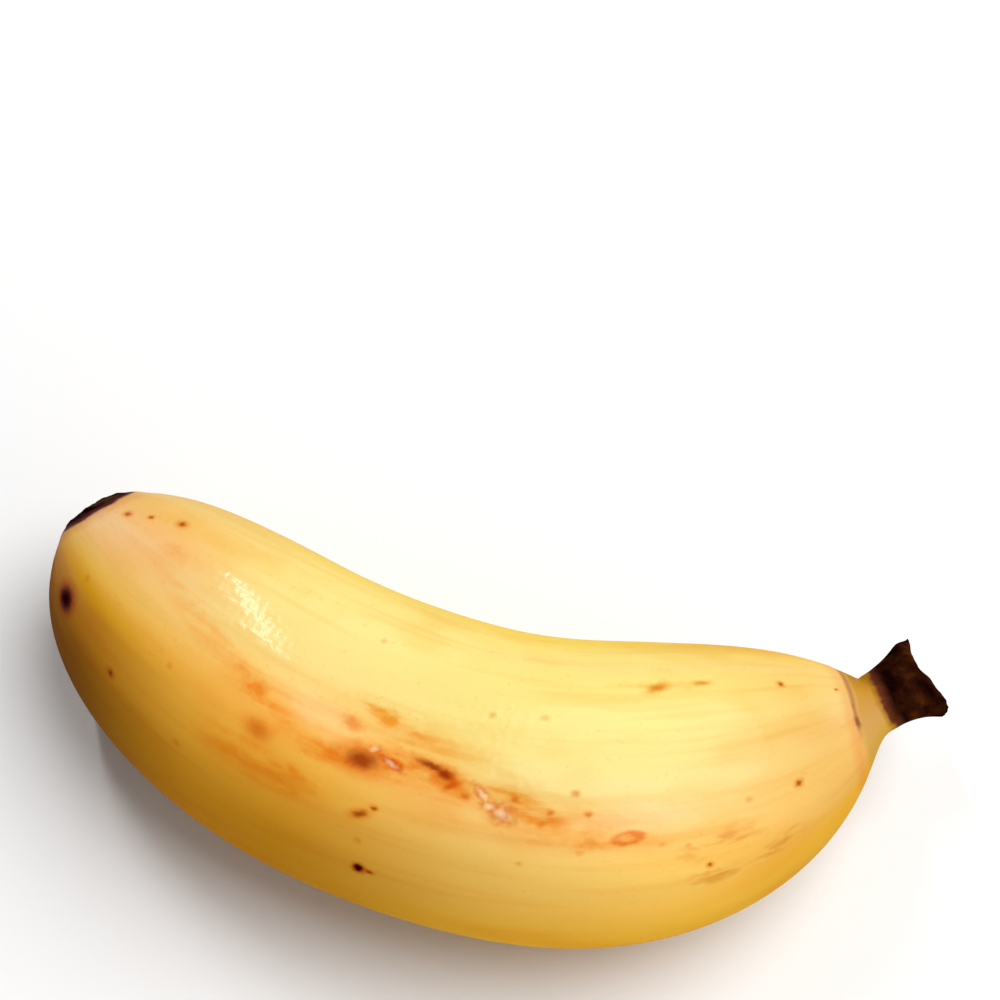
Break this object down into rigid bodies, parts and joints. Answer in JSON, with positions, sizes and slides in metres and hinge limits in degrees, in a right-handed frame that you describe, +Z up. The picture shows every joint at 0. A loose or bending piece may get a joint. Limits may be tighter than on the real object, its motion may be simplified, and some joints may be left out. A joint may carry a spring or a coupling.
{
  "type": "banana",
  "caption": "Short, plump ripe banana lying on its side, bowed, with soft ridges along the peel, a low dark scab at the blossom end and a short torn stub of stem.",
  "frame": {"origin": "on the ground, under the middle of the fruit's bounding box", "axes": "+X from the blossom end to the stem end, +Y towards the hollow side of the bow, +Z up"},
  "size_m": [0.117, 0.054, 0.0376],
  "materials": {
    "banana_peel": "satin"
  },
  "bodies": {
    "root": {"banana": "banana_peel"}
  },
  "joints": []
}
